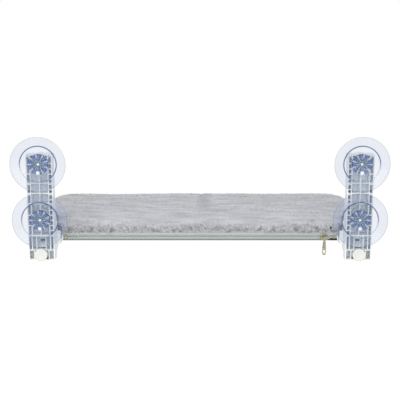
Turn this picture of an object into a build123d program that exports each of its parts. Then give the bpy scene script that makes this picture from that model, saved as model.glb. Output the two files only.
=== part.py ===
"""A padded cat bed that hangs on a window pane by four suction cups and folds up against it.

Millimetres. X runs along the pane, Y into the room and Z up. The origin lies on the room side
of the pane, at the centre of the rectangle that the four cups make.
Heights named ..._height are measured up from the lower end of a bracket. The bed's own heights,
named rise or drop, are measured up or down from the fold axis.
The right side is modelled and the left side is its mirror image.
"""

from build123d import *
from math import cos, pi, sin
import os

# Where the cups stand on the pane
column_half_distance = 290.0

# Suction cups
cup_radius = 50.0
cup_lip_width = 3.0
cup_rim_thickness = 1.4
cup_flange_thickness = 3.2
cup_hollow_depth = 4.0
cup_step_radius = 34.5
cup_step_width = 2.0
cup_step_height = 1.7
cup_neck_radius = 19.5
cup_boss_radius = 18.0
cup_boss_height = 4.0

# Studs, washers and knobs
stud_disc_radius = 11.0
stud_disc_thickness = 3.0
stud_disc_cover = 1.5
stud_tooth_count = 16
stud_tooth_height = 0.6
stud_tooth_width = 1.2
stud_tooth_inner_radius = 3.5
stud_shank_radius = 4.0
stud_shank_end_margin = 1.0
washer_radius = 9.0
washer_thickness = 1.2
knob_radius = 14.0
knob_height = 8.5
knob_lobe_count = 8
knob_groove_radius = 2.2
knob_edge_fillet = 1.0
knob_bore_clearance = 0.05
washer_bore_clearance = 0.15

# Bracket moulding
rib_plane_depth = 12.0
bracket_depth = 25.0
bracket_half_width = 23.8
bracket_height = 195.7
outer_wall = 1.8
rib_thickness = 1.6
skin_thickness = 2.4
inner_rib_offset = 16.2
lower_cup_height = 76.7
upper_cup_drop = 16.5
ring_wall = 1.8
spoke_count = 8
spoke_thickness = 1.5
stud_boss_wall = 3.2
stud_bore_clearance = 0.2
screw_boss_radius = 3.2
screw_boss_bore = 1.3
cross_rib_share = [0.283, 0.468, 0.654]
inner_cell_height = 9.5
outer_cell_height = 19.0
waist_rib_height = 46.3
waist_rib_thickness = 2.6
foot_rib_height = 19.2
slot_frame_offset = 8.4
lower_rib_offset = 16.8
foot_recess_half_width = 13.2
bracket_edge_fillet = 0.6

# Bumper pad
pad_radius = 11.8
pad_height = 12.2
pad_edge_fillet = 1.2
pad_stem_radius = 4.0
pad_stem_length = 9.0
pad_boss_wall = 2.0

# Hinge
axis_depth = 62.0
axis_height = 49.3
cheek_thickness = 4.0
cheek_reach = 14.0
cheek_rise = 12.0
cheek_nose_radius = 10.0
cheek_foot_height = 12.0
cheek_foot_length = 8.0
cheek_heel_drop = 17.0
cheek_heel_radius = 6.0
bush_wall = 2.0
bush_flange_radius = 9.5
bush_flange_thickness = 1.0
hinge_running_clearance = 0.05
hub_side_clearance = 0.2
shelf_thickness = 3.6
shelf_length = 4.5
shelf_inset = 0.5
shelf_gap = 0.2
saddle_length = 5.2
saddle_half_depth = 11.0
saddle_drop = 28.0
saddle_clearance = 0.3

# Arm hub
hub_radius = 11.0
socket_half_width = 9.0
socket_half_height = 7.4
socket_reach = 34.0
socket_tube_start = 8.5

# Latch: a bolt that is drawn down at rest and pushed up by hand to lock the arm
latch_travel = 4.0
latch_neck_half_width = 5.35
latch_slot_clearance = 0.15
latch_neck_low_height = 22.3
latch_neck_high_height = 30.3
latch_slot_end_gap = 1.0
latch_flange_half_width = 7.3
latch_flange_depth = 11.5
latch_flange_wall = 4.0
latch_groove_low = 2.2
latch_groove_high = 3.4
latch_groove_depth = 1.5
latch_face_gap = 0.3
latch_body_half_width = 12.0
latch_body_length = 29.5
latch_body_low_height = 18.8
latch_lip_length = 5.0
latch_lip_thickness = 4.0
latch_tooth_half_width = 5.0
latch_tooth_half_depth = 2.5
latch_tooth_engagement = 2.4
latch_notch_clearance = 0.6

# Bed frame tubes
tube_radius = 6.0
tube_wall = 1.2
tube_end_margin = 1.0
end_cap_radius = 8.5
end_cap_thickness = 2.0
end_cap_plug_length = 12.0
end_cap_fillet = 0.3
bed_length = 300.0
tube_bend_radius = 40.0
connector_half_length = 32.0
connector_joint_gap = 0.5
screw_shank_radius = 2.0
screw_head_radius = 3.5
screw_head_height = 1.8
screw_point_length = 3.2
arm_screw_reach = 25.0
joint_screw_offset = 18.0

# Support bars, board and foam
support_bar_share = 0.52
support_bar_half_width = 12.0
support_bar_thickness = 2.5
support_bar_seat_half_length = 4.5
board_thickness = 3.0
board_drop = 13.0
board_side_margin = 8.0
board_end_margin = 2.0
panel_far_fillet = 36.0
panel_near_fillet = 8.0
foam_top_rise = 5.7
foam_side_margin = 3.0
foam_end_margin = 1.2
foam_edge_fillet = 5.0

# Cover
cover_gap = 0.3
cover_front_wall = 1.9
cover_plush_overhang = 1.8
cover_side_padding = 9.7
cover_bracket_gap = 2.0
cover_near_depth = 25.5
cover_near_side_wall = 4.0
cover_wide_wall = 4.5
cover_corner_radius = 52.0
cover_top_rise = 11.4
cover_drop = 22.5
cover_base_thickness = 3.0
cover_plan_margin = 0.5
cover_near_corner_fillet = 7.0
cover_wide_corner_fillet = 9.0
cover_notch_fillet = 4.0
cover_undercut_length = 20.0
cover_undercut_drop = 9.0
cover_socket_gap = 0.4
# Each layer of the cushion: its place between the underside and the crown, and how far the
# sides are drawn in there
cover_layer_share = [0.0, 0.05, 0.22, 0.50, 0.68, 0.80, 0.90, 0.955, 1.0]
cover_layer_inset = [5.0, 2.4, 2.0, 0.4, 0.0, 1.2, 5.0, 14.0, 60.0]

# Zip along the near edge
zip_end_margin = 5.0
zip_drop = 14.25
zip_tape_thickness = 0.8
zip_tape_width = 7.1
zip_coil_height = 2.6
zip_coil_depth = 2.2
zip_split = 1.0
zip_tape_overrun = 3.0
zip_wall_slot_margin = 0.7
zip_stop_half_width = 2.2
zip_stop_wrap = 0.5
zip_stop_inset = 3.5

# Zip slider and pull tab
slider_end_distance = 22.0
slider_half_length = 6.5
slider_nose_half_width = 2.8
slider_half_height = 5.4
slider_plate_thickness = 1.2
slider_gap = 0.2
slider_post_half_length = 1.6
slider_post_side_gap = 0.1
slider_back_half_height = 3.4
slider_back_thickness = 0.9
slider_bail_wire_radius = 0.8
slider_bail_half_length = 3.2
slider_bail_bend = 1.2
slider_bail_reach = 3.6
pull_width = 7.0
pull_length = 34.0
pull_thickness = 1.1
pull_eye_radius = 1.5
pull_eye_drop = 0.6
pull_eye_clearance = 0.15
pull_slot_half_width = 1.7
pull_slot_half_length = 3.6
pull_slot_end_margin = 2.8
pull_waist_width = 4.6
pull_taper_share = [0.18, 0.62]

# Shared
cut_overrun = 1.0

# Places that follow from the sizes above
cup_spacing = bracket_height - lower_cup_height - upper_cup_drop
bracket_low_z = -cup_spacing / 2 - lower_cup_height
upper_cup_z = cup_spacing / 2
lower_cup_z = -cup_spacing / 2
bracket_back = rib_plane_depth + bracket_depth
skin_front = bracket_back - skin_thickness
axis_z = bracket_low_z + axis_height
outer_face_x = column_half_distance + bracket_half_width
cheek_nose = axis_depth + cheek_reach
hub_half_width = bracket_half_width - cheek_thickness - bush_flange_thickness - hub_side_clearance
tube_bore_radius = tube_radius - tube_wall
front_tube_half_length = outer_face_x + tube_end_margin
cover_wall_inner_y = axis_depth - tube_radius - cover_gap
zip_plane_y = cover_wall_inner_y - cover_front_wall - zip_tape_thickness
cover_near_half_width = column_half_distance - bracket_half_width - saddle_length - cover_bracket_gap
zip_half_length = cover_near_half_width - zip_end_margin
slider_x = zip_half_length - slider_end_distance
support_bar_offset = column_half_distance * support_bar_share
cover_near_y = zip_plane_y + zip_tape_thickness - cover_plush_overhang
cover_far_y = cover_near_y + bed_length
rear_tube_y = cover_far_y - cover_side_padding - cover_gap - tube_radius
cover_half_width = column_half_distance + tube_radius + cover_gap + cover_side_padding
cover_wide_y = cover_near_y + cover_near_depth
cover_inner_half_width = cover_half_width - cover_side_padding
cover_inner_far_y = cover_far_y - cover_side_padding
cover_low_z = axis_z - cover_drop
cover_top_z = axis_z + cover_top_rise
cover_floor_z = cover_low_z + cover_base_thickness
zip_z = axis_z - zip_drop


# Basic shapes in the part's own axes
def block(x0, x1, y0, y1, z0, z1):
    middle = Pos((x0 + x1) / 2, (y0 + y1) / 2, (z0 + z1) / 2)
    return middle * Box(x1 - x0, y1 - y0, z1 - z0)


def rod_x(radius, x0, x1, y, z):
    return Pos((x0 + x1) / 2, y, z) * Rot(0, 90, 0) * Cylinder(radius, x1 - x0)


def rod_y(radius, x, y0, y1, z):
    return Pos(x, (y0 + y1) / 2, z) * Rot(90, 0, 0) * Cylinder(radius, y1 - y0)


def rod_z(radius, x, y, z0, z1):
    return Pos(x, y, (z0 + z1) / 2) * Cylinder(radius, z1 - z0)


def ring_y(outer, inner, x, y0, y1, z):
    return rod_y(outer, x, y0, y1, z) - rod_y(inner, x, y0 - cut_overrun, y1 + cut_overrun, z)


# A block in the bracket's own frame: across from the column's middle, depth and height
def bracket_block(u0, u1, y0, y1, h0, h1):
    x = column_half_distance
    return block(x + u0, x + u1, y0, y1, bracket_low_z + h0, bracket_low_z + h1)


# A rib that runs up the bracket, from the open front to the skin
def upright_rib(offset, low, high, thickness=rib_thickness):
    half = thickness / 2
    return bracket_block(offset - half, offset + half, rib_plane_depth, bracket_back, low, high)


# A rib that runs across the bracket
def cross_rib(height, left, right, thickness=rib_thickness):
    half = thickness / 2
    return bracket_block(left, right, rib_plane_depth, bracket_back, height - half, height + half)


# The side profile of a cheek: a plate from the bracket's back to a rounded nose round the axis
def cheek(u0, u1):
    foot = bracket_low_z + cheek_foot_height
    heel = axis_z - cheek_heel_drop
    top = axis_z + cheek_rise
    back = bracket_back - skin_thickness
    corner = bracket_back + cheek_foot_length
    outline = FilletPolyline(
        (back, foot),
        (corner, foot),
        (cheek_nose, heel),
        (cheek_nose, top),
        (back, top),
        radius=[cheek_heel_radius, cheek_heel_radius, cheek_nose_radius],
    )
    face = make_face(Plane.YZ * (outline + Line((back, top), (back, foot))))
    return Pos(column_half_distance + u0, 0, 0) * extrude(face, u1 - u0)


# The stud bosses: a ring behind each cup with spokes to a bored boss
def stud_mount(z):
    x = column_half_distance
    boss_radius = stud_shank_radius + stud_boss_wall
    inner = cup_boss_radius - ring_wall
    mount = ring_y(cup_boss_radius, inner, x, rib_plane_depth, bracket_back, z)
    spoke_start = boss_radius - stud_boss_wall / 2
    spoke_end = cup_boss_radius - ring_wall / 2
    for number in range(spoke_count):
        turn = Pos(x, 0, z) * Rot(0, 360 / spoke_count * number, 0)
        middle = Pos((spoke_start + spoke_end) / 2, rib_plane_depth + bracket_depth / 2, 0)
        mount += turn * middle * Box(spoke_end - spoke_start, bracket_depth, spoke_thickness)
    mount += rod_y(boss_radius, x, rib_plane_depth, bracket_back, z)
    return mount


def bracket():
    x = column_half_distance
    inside = bracket_half_width - outer_wall
    outer_block = bracket_block(
        -bracket_half_width, bracket_half_width, rib_plane_depth, bracket_back, 0, bracket_height
    )
    shell = fillet(outer_block.edges().filter_by(Axis.Z), bracket_edge_fillet)
    shell -= bracket_block(
        -inside, inside, rib_plane_depth - cut_overrun, skin_front, outer_wall, bracket_height - outer_wall
    )
    body = shell

    # Long ribs of the upper part, cut away inside the stud rings
    upper = upright_rib(0, waist_rib_height, bracket_height)
    for side in (-1, 1):
        upper += upright_rib(side * inner_rib_offset, waist_rib_height, bracket_height)
    for share in cross_rib_share:
        height = lower_cup_height + cup_spacing * share
        upper += cross_rib(height, -bracket_half_width, bracket_half_width)
    for side, cell_height in ((-1, inner_cell_height), (1, outer_cell_height)):
        ends = sorted((side * inner_rib_offset, side * bracket_half_width))
        for row in range(1, int((bracket_height - waist_rib_height) / cell_height)):
            upper += cross_rib(waist_rib_height + row * cell_height, ends[0], ends[1])
    for z in (lower_cup_z, upper_cup_z):
        upper -= rod_y(cup_boss_radius - ring_wall, x, 0, bracket_back + cut_overrun, z)
    body += upper

    # Slanting gussets from the upper corners to the ring
    gusset_length = cup_boss_radius - ring_wall / 2
    for side in (-1, 1):
        corner_x = side * (bracket_half_width - outer_wall)
        corner_h = bracket_height - outer_wall - (lower_cup_height + cup_spacing)
        reach = (corner_x * corner_x + corner_h * corner_h) ** 0.5
        middle_share = (gusset_length + reach) / 2 / reach
        slope = -Vector(1, 0, 0).get_signed_angle(Vector(corner_x, 0, corner_h), Vector(0, -1, 0))
        bar = Rot(0, slope, 0) * Box(reach - gusset_length, bracket_depth, rib_thickness)
        spot = Pos(
            x + corner_x * middle_share,
            rib_plane_depth + bracket_depth / 2,
            upper_cup_z + corner_h * middle_share,
        )
        body += (spot * bar) & outer_block

    for z in (lower_cup_z, upper_cup_z):
        body += stud_mount(z)
        screw_z = z - cup_boss_radius
        body += rod_y(screw_boss_radius, x, rib_plane_depth, bracket_back, screw_z)
        body -= rod_y(screw_boss_bore, x, rib_plane_depth - cut_overrun, skin_front, screw_z)

    # Waist rib, latch window frame and foot
    body += cross_rib(waist_rib_height, -bracket_half_width, bracket_half_width, waist_rib_thickness)
    body += cross_rib(foot_rib_height, -bracket_half_width, bracket_half_width)
    for side in (-1, 1):
        for offset in (slot_frame_offset, lower_rib_offset):
            body += upright_rib(side * offset, foot_rib_height, waist_rib_height)
        body += upright_rib(side * foot_recess_half_width, 0, foot_rib_height)

    # Socket for the bumper pad's stem
    pad_z = bracket_low_z + pad_height
    socket_end = rib_plane_depth + pad_stem_length
    body += rod_y(pad_stem_radius + pad_boss_wall, x, rib_plane_depth, bracket_back, pad_z)
    body -= rod_y(pad_stem_radius, x, rib_plane_depth - cut_overrun, socket_end, pad_z)

    # Cheeks of the hinge with their shelf for the arm, bored for the bushes
    inner = bracket_half_width - cheek_thickness
    body += cheek(-bracket_half_width, -inner)
    body += cheek(inner, bracket_half_width)
    shelf_top = axis_z - socket_half_height - shelf_gap
    shelf_end = cheek_nose - shelf_inset
    body += block(
        x - inner, x + inner, shelf_end - shelf_length, shelf_end, shelf_top - shelf_thickness, shelf_top
    )

    # Saddle beside the inner cheek, under the front tube
    saddle_x = x - bracket_half_width - saddle_length
    body += block(
        saddle_x,
        x - inner,
        axis_depth - saddle_half_depth,
        axis_depth + saddle_half_depth,
        axis_z - saddle_drop,
        axis_z - tube_radius / 2,
    )
    saddle_cut = tube_radius + saddle_clearance
    body -= rod_x(saddle_cut, saddle_x - cut_overrun, x - bracket_half_width, axis_depth, axis_z)
    bush_bore = tube_radius + hinge_running_clearance + bush_wall
    reach = x + bracket_half_width + cut_overrun
    body -= rod_x(bush_bore, x + inner, reach, axis_depth, axis_z)
    body -= rod_x(bush_bore, x - bracket_half_width, x - inner, axis_depth, axis_z)

    # Slot in the skin for the latch, and the stud bores
    slot = latch_neck_half_width + latch_slot_clearance
    slot_low = latch_neck_low_height - latch_slot_end_gap
    slot_high = latch_neck_high_height + latch_travel + latch_slot_end_gap
    body -= bracket_block(
        -slot, slot, skin_front - cut_overrun, bracket_back + cut_overrun, slot_low, slot_high
    )
    bore = stud_shank_radius + stud_bore_clearance
    for z in (lower_cup_z, upper_cup_z):
        body -= rod_y(bore, x, 0, bracket_back + cut_overrun, z)
    return body


# A cup's outline, turned about the stud's axis
def cup(z):
    lip = cup_radius - cup_lip_width
    boss_front = rib_plane_depth - cup_boss_height
    step_outer = cup_step_radius + cup_step_width / 2
    step_inner = cup_step_radius - cup_step_width / 2
    step_base = cup_flange_thickness + cup_rim_thickness
    hollow_middle_share = 0.76
    hollow = ThreePointArc(
        (0, cup_hollow_depth),
        (lip / 2, cup_hollow_depth * hollow_middle_share),
        (lip, 0),
    )
    rest = Polyline(
        (lip, 0),
        (cup_radius, 0),
        (cup_radius, cup_rim_thickness),
        (step_outer, step_base),
        (step_outer, step_base + cup_step_height),
        (step_inner, step_base + cup_step_height),
        (step_inner, step_base),
        (cup_neck_radius, boss_front - cup_rim_thickness),
        (cup_boss_radius, boss_front),
        (cup_boss_radius, rib_plane_depth),
        (0, rib_plane_depth),
        (0, cup_hollow_depth),
    )
    turned = revolve(make_face(hollow + rest), axis=Axis.Y)
    return Pos(column_half_distance, 0, z) * turned - stud(z)


# A stud: a toothed disc in the cup's middle and a shank to the room side
def stud(z):
    x = column_half_distance
    front = cup_hollow_depth + stud_disc_cover
    back = front + stud_disc_thickness
    end = bracket_back + washer_thickness + knob_height - stud_shank_end_margin
    body = rod_y(stud_disc_radius, x, front, back, z) + rod_y(stud_shank_radius, x, back, end, z)
    for number in range(stud_tooth_count):
        turn = Pos(x, front, z) * Rot(0, 360 / stud_tooth_count * number, 0)
        length = stud_disc_radius - stud_tooth_inner_radius
        tooth = Box(length, stud_tooth_height * 2, stud_tooth_width)
        body += turn * Pos(stud_disc_radius - length / 2, 0, 0) * tooth
    return body & rod_y(stud_disc_radius, x, 0, end, z)


def washer(z):
    bore = stud_shank_radius + washer_bore_clearance
    end = bracket_back + washer_thickness
    return ring_y(washer_radius, bore, column_half_distance, bracket_back, end, z)


# A knob with grooves round its grip
def knob(z):
    front = bracket_back + washer_thickness
    grip = Cylinder(knob_radius, knob_height)
    grip = fillet(grip.edges().group_by(Axis.Z)[-1], knob_edge_fillet)
    for number in range(knob_lobe_count):
        angle = 2 * pi / knob_lobe_count * number
        spot = Pos(knob_radius * cos(angle), knob_radius * sin(angle), 0)
        grip -= spot * Cylinder(knob_groove_radius, knob_height + cut_overrun)
    grip -= Cylinder(stud_shank_radius + knob_bore_clearance, knob_height + cut_overrun)
    return Pos(column_half_distance, front + knob_height / 2, z) * Rot(-90, 0, 0) * grip


def bumper():
    z = bracket_low_z + pad_height
    x = column_half_distance
    face = rod_y(pad_radius, x, 0, rib_plane_depth, z)
    face = fillet(face.edges().group_by(Axis.Y)[0], pad_edge_fillet)
    return face + rod_y(pad_stem_radius, x, rib_plane_depth, rib_plane_depth + pad_stem_length, z)


# A flanged bush in one cheek; side is -1 for the cheek next to the bed
def bush(side):
    bore = tube_radius + hinge_running_clearance
    outer = bore + bush_wall
    inner_face = bracket_half_width - cheek_thickness
    ends = sorted((side * inner_face, side * bracket_half_width))
    flange = sorted((side * inner_face, side * (inner_face - bush_flange_thickness)))
    x = column_half_distance
    body = rod_x(outer, x + ends[0], x + ends[1], axis_depth, axis_z)
    body += rod_x(bush_flange_radius, x + flange[0], x + flange[1], axis_depth, axis_z)
    return body - rod_x(bore, x - bracket_half_width, x + bracket_half_width, axis_depth, axis_z)


# The latch: a flange inside the bracket, a neck through the slot and a body with its tooth
def latch():
    neck_low = bracket_low_z + latch_neck_low_height
    neck_high = bracket_low_z + latch_neck_high_height
    x = column_half_distance
    flange_back = skin_front - latch_face_gap
    flange_front = flange_back - latch_flange_depth
    flange_face = make_face(
        Plane.YZ
        * Polyline(
            (flange_front, neck_low),
            (flange_back, neck_low),
            (flange_back, neck_high),
            (flange_back - latch_flange_wall / 2, neck_high),
            (flange_front, neck_low + latch_flange_wall),
            (flange_front, neck_low + latch_groove_high),
            (flange_front + latch_groove_depth, neck_low + latch_groove_high),
            (flange_front + latch_groove_depth, neck_low + latch_groove_low),
            (flange_front, neck_low + latch_groove_low),
            (flange_front, neck_low),
        )
    )
    body = Pos(x - latch_flange_half_width, 0, 0) * extrude(flange_face, latch_flange_half_width * 2)
    body_front = bracket_back + latch_face_gap
    body += block(
        x - latch_neck_half_width, x + latch_neck_half_width, flange_back, body_front, neck_low, neck_high
    )
    body_end = body_front + latch_body_length
    low = bracket_low_z + latch_body_low_height
    body += block(
        x - latch_body_half_width, x + latch_body_half_width, body_front, body_end, low, neck_high
    )
    body += block(
        x - latch_body_half_width, x + latch_body_half_width,
        body_end, body_end + latch_lip_length, low, low + latch_lip_thickness,
    )
    tooth_top = axis_z - hub_radius + latch_tooth_engagement - latch_travel
    body += block(
        x - latch_tooth_half_width, x + latch_tooth_half_width,
        axis_depth - latch_tooth_half_depth, axis_depth + latch_tooth_half_depth, neck_high, tooth_top,
    )
    return body


# Screws: a shank that runs along Z with its head above or below
def screw(x, y, seat_z, up):
    head = sorted((seat_z, seat_z + up * screw_head_height))
    shank = sorted((seat_z, seat_z - up * screw_point_length))
    return rod_z(screw_head_radius, x, y, head[0], head[1]) + rod_z(
        screw_shank_radius, x, y, shank[0], shank[1]
    )


def pivot_screw():
    seat = axis_z + tube_radius + screw_point_length - tube_wall
    return screw(column_half_distance, axis_depth, seat, 1)


def arm_screw():
    seat = axis_z - socket_half_height
    return screw(column_half_distance, axis_depth + arm_screw_reach, seat, -1)


def joint_screw():
    return screw(joint_screw_offset, rear_tube_y, axis_z - tube_radius, -1)


# The arm hub: a drum round the front tube with a socket for the side tube
def arm_hub():
    x = column_half_distance
    body = rod_x(hub_radius, x - hub_half_width, x + hub_half_width, axis_depth, axis_z)
    body += block(
        x - socket_half_width, x + socket_half_width, axis_depth, axis_depth + socket_reach,
        axis_z - socket_half_height, axis_z + socket_half_height,
    )
    body -= rod_x(tube_radius, x - bracket_half_width, x + bracket_half_width, axis_depth, axis_z)
    tube_start = axis_depth + socket_tube_start
    body -= rod_y(tube_radius, x, tube_start, axis_depth + socket_reach + cut_overrun, axis_z)
    # Two flats along the drum leave one lobe between them for the tooth to stand against:
    # on its room side when the bed is out, and on its pane side when the bed is folded up
    wide = hub_half_width + cut_overrun
    deep = latch_tooth_half_depth + latch_notch_clearance
    floor = hub_radius - latch_tooth_engagement - latch_notch_clearance
    edge = hub_radius + cut_overrun
    body -= block(
        x - wide, x + wide, axis_depth - deep, axis_depth + edge, axis_z - edge, axis_z - floor
    )
    body -= block(
        x - wide, x + wide, axis_depth - edge, axis_depth - floor, axis_z - deep, axis_z + edge
    )
    seat = axis_z + tube_radius + screw_point_length - tube_wall
    body -= rod_z(screw_head_radius, x, axis_depth, seat, axis_z + hub_radius + cut_overrun)
    return body - pivot_screw() - arm_screw()


# Tubes of the bed frame
def front_tube():
    half = front_tube_half_length
    body = rod_x(tube_radius, -half, half, axis_depth, axis_z)
    body -= rod_x(tube_bore_radius, -half - cut_overrun, half + cut_overrun, axis_depth, axis_z)
    right_screw = pivot_screw()
    return body - right_screw - mirror(right_screw, about=Plane.YZ)


def side_tube():
    x = column_half_distance
    start = axis_depth + socket_tube_start
    path = FilletPolyline(
        (x, start, axis_z),
        (x, rear_tube_y, axis_z),
        (connector_joint_gap, rear_tube_y, axis_z),
        radius=tube_bend_radius,
    )
    section = Plane(origin=(x, start, axis_z), z_dir=(0, 1, 0)) * (
        Circle(tube_radius) - Circle(tube_bore_radius)
    )
    return sweep(section, path=path) - arm_screw() - joint_screw()


def frame_connector():
    half = connector_half_length
    body = rod_x(tube_bore_radius, -half, half, rear_tube_y, axis_z)
    right_screw = joint_screw()
    return body - right_screw - mirror(right_screw, about=Plane.YZ)


def end_cap():
    plug_start = front_tube_half_length - end_cap_plug_length
    head_start = front_tube_half_length
    body = rod_x(tube_bore_radius, plug_start, head_start, axis_depth, axis_z)
    head = rod_x(end_cap_radius, head_start, head_start + end_cap_thickness, axis_depth, axis_z)
    return body + fillet(head.edges().group_by(Axis.X)[-1], end_cap_fillet)


# A strip from the front tube to the rear tube, seated under both
def support_bar():
    x0 = support_bar_offset - support_bar_half_width
    x1 = support_bar_offset + support_bar_half_width
    top = axis_z - board_drop - board_thickness
    low = top - support_bar_thickness
    front = axis_depth - support_bar_seat_half_length
    rear = rear_tube_y + support_bar_seat_half_length
    body = block(x0, x1, front, rear, low, top)
    for tube_y in (axis_depth, rear_tube_y):
        seat = block(
            x0, x1, tube_y - support_bar_seat_half_length, tube_y + support_bar_seat_half_length,
            low, axis_z - tube_radius / 2,
        )
        body += seat - rod_x(tube_radius, x0 - cut_overrun, x1 + cut_overrun, tube_y, axis_z)
    return body


# A flat piece between the tubes, stepped in at the near corners like the cover
def panel(half_width, y0, y1, z0, z1):
    near = cover_near_half_width - cover_near_side_wall - cover_gap
    step = cover_wide_y + cover_wide_wall + cover_undercut_length + cover_gap
    outline = FilletPolyline(
        (near, y0),
        (near, step),
        (half_width, step),
        (half_width, y1),
        (-half_width, y1),
        (-half_width, step),
        (-near, step),
        (-near, y0),
        radius=[
            panel_near_fillet,
            0,
            panel_near_fillet,
            panel_far_fillet,
            panel_far_fillet,
            panel_near_fillet,
            0,
            panel_near_fillet,
        ],
        close=True,
    )
    return extrude(Pos(0, 0, z0) * make_face(outline), z1 - z0)


def support_board():
    half = column_half_distance - tube_radius - board_side_margin
    y0 = axis_depth + support_bar_seat_half_length + board_end_margin
    y1 = rear_tube_y - support_bar_seat_half_length - board_end_margin
    low = axis_z - board_drop - board_thickness
    return panel(half, y0, y1, low, low + board_thickness)


def foam_pad():
    half = column_half_distance - hub_half_width - foam_side_margin
    y0 = axis_depth + tube_radius + foam_end_margin
    y1 = rear_tube_y - tube_radius - foam_end_margin
    low = axis_z - board_drop
    body = panel(half, y0, y1, low, axis_z + foam_top_rise)
    return fillet(body.edges().group_by(Axis.Z)[-1], foam_edge_fillet)


# The cushion's outer form: layers of a rounded rectangle, drawn in at the seams and crowned
def cushion():
    layers = []
    height = cover_top_z - cover_low_z
    middle_y = (cover_near_y + cover_far_y) / 2
    for share, inset in zip(cover_layer_share, cover_layer_inset):
        width = (cover_half_width - inset) * 2
        length = bed_length - inset * 2
        corner = max(cover_corner_radius - inset, cover_near_corner_fillet)
        layer = Pos(0, middle_y, cover_low_z + height * share) * RectangleRounded(width, length, corner)
        layers.append(layer)
    form = loft(layers, ruled=True)

    # In plan the near corners are left out round the brackets' cheeks
    side = cover_half_width + cover_plan_margin
    near = cover_near_half_width
    front = cover_near_y - cover_plan_margin
    far = cover_far_y + cover_plan_margin
    radii = [
        cover_near_corner_fillet,
        cover_notch_fillet,
        cover_wide_corner_fillet,
        cover_corner_radius,
        cover_corner_radius,
        cover_wide_corner_fillet,
        cover_notch_fillet,
        cover_near_corner_fillet,
    ]
    plan = FilletPolyline(
        (near, front),
        (near, cover_wide_y),
        (side, cover_wide_y),
        (side, far),
        (-side, far),
        (-side, cover_wide_y),
        (-near, cover_wide_y),
        (-near, front),
        radius=radii,
        close=True,
    )
    prism = extrude(Pos(0, 0, cover_low_z - cut_overrun) * make_face(plan), height + cut_overrun * 2)
    form = form & prism
    # The plush above the zip hangs over it a little
    overhang_z = zip_z + zip_split / 2 + zip_tape_width
    form -= block(
        -side, side, 0, zip_plane_y + zip_tape_thickness, cover_low_z - cut_overrun, overhang_z
    )
    # Below the arms the near corners are cut back further
    for end in (-1, 1):
        ends = sorted((end * near, end * (side + cut_overrun)))
        form -= block(
            ends[0], ends[1], 0, cover_wide_y + cover_undercut_length,
            cover_low_z - cut_overrun, axis_z - cover_undercut_drop,
        )
    return form


# The room inside the cover for the frame, the board and the foam
def cover_inside():
    near = cover_near_half_width - cover_near_side_wall
    side = cover_inner_half_width
    wide = cover_wide_y + cover_wide_wall
    top = axis_z + tube_radius + cover_gap
    bend = tube_bend_radius + tube_radius + cover_gap
    small = cover_notch_fillet / 2
    plan = FilletPolyline(
        (near, cover_wall_inner_y),
        (near, wide),
        (side, wide),
        (side, cover_inner_far_y),
        (-side, cover_inner_far_y),
        (-side, wide),
        (-near, wide),
        (-near, cover_wall_inner_y),
        radius=[small, small, small, bend, bend, small, small, small],
        close=True,
    )
    upper = extrude(Pos(0, 0, cover_floor_z) * make_face(plan), top - cover_floor_z)
    upper = fillet(upper.edges().group_by(Axis.Z)[-1].sort_by(Axis.Y)[0], cover_notch_fillet)
    keep_side = near
    keep_y = wide + cover_undercut_length
    for end in (-1, 1):
        ends = sorted((end * keep_side, end * (side + cut_overrun)))
        upper -= block(
            ends[0], ends[1], 0, keep_y, cover_floor_z - cut_overrun,
            axis_z - cover_undercut_drop + cover_wide_wall / 2,
        )
    return upper


def cover():
    body = cushion() - cover_inside()
    tube_hole = tube_radius + cover_gap
    side = cover_half_width + cut_overrun
    body -= rod_x(tube_hole, -side, side, axis_depth, axis_z)
    half = socket_half_width + cover_socket_gap
    tall = socket_half_height + cover_socket_gap
    for end in (-1, 1):
        x = end * column_half_distance
        body -= block(
            x - half, x + half, axis_depth, axis_depth + socket_reach + cover_socket_gap,
            axis_z - tall, axis_z + tall,
        )
        head = screw_head_radius + cover_socket_gap
        screw_y = axis_depth + arm_screw_reach
        head_drop = tall + screw_head_height
        body -= block(x - head, x + head, screw_y - head, screw_y + head, axis_z - head_drop, axis_z)
    reach = zip_half_length
    tall = slider_back_half_height + zip_wall_slot_margin
    body -= block(-reach, reach, 0, cover_wall_inner_y + cut_overrun, zip_z - tall, zip_z + tall)
    return body


def cover_top(whole):
    side = cover_half_width + cut_overrun
    return whole & block(-side, side, 0, cover_far_y + cut_overrun, cover_floor_z, cover_top_z)


def cover_base(whole):
    side = cover_half_width + cut_overrun
    low = cover_low_z - cut_overrun
    return whole & block(-side, side, 0, cover_far_y + cut_overrun, low, cover_floor_z)


# The zip's two halves; side is 1 for the upper half and -1 for the lower one
def zip_tape(side):
    half = zip_half_length + zip_tape_overrun
    edges = sorted((zip_z + side * zip_split / 2, zip_z + side * (zip_split / 2 + zip_tape_width)))
    return block(-half, half, zip_plane_y, zip_plane_y + zip_tape_thickness, edges[0], edges[1])


def zip_coil(side):
    half = zip_half_length
    inner = zip_split / 2
    edges = sorted((zip_z + side * inner, zip_z + side * (inner + zip_coil_height)))
    bead = block(-half, half, zip_plane_y - zip_coil_depth, zip_plane_y, edges[0], edges[1])
    front = bead.edges().filter_by(Axis.X).group_by(Axis.Y)[0]
    return fillet(front, zip_coil_depth / 3)


def zip_stop(side):
    middle = side * (zip_half_length - zip_stop_inset)
    tall = zip_split / 2 + zip_coil_height + zip_stop_wrap
    front = zip_plane_y - zip_coil_depth - zip_stop_wrap
    x0 = middle - zip_stop_half_width
    x1 = middle + zip_stop_half_width
    body = block(x0, x1, front, zip_plane_y, zip_z - tall, zip_z + tall)
    return body - zip_coil(1) - zip_coil(-1)


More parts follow.
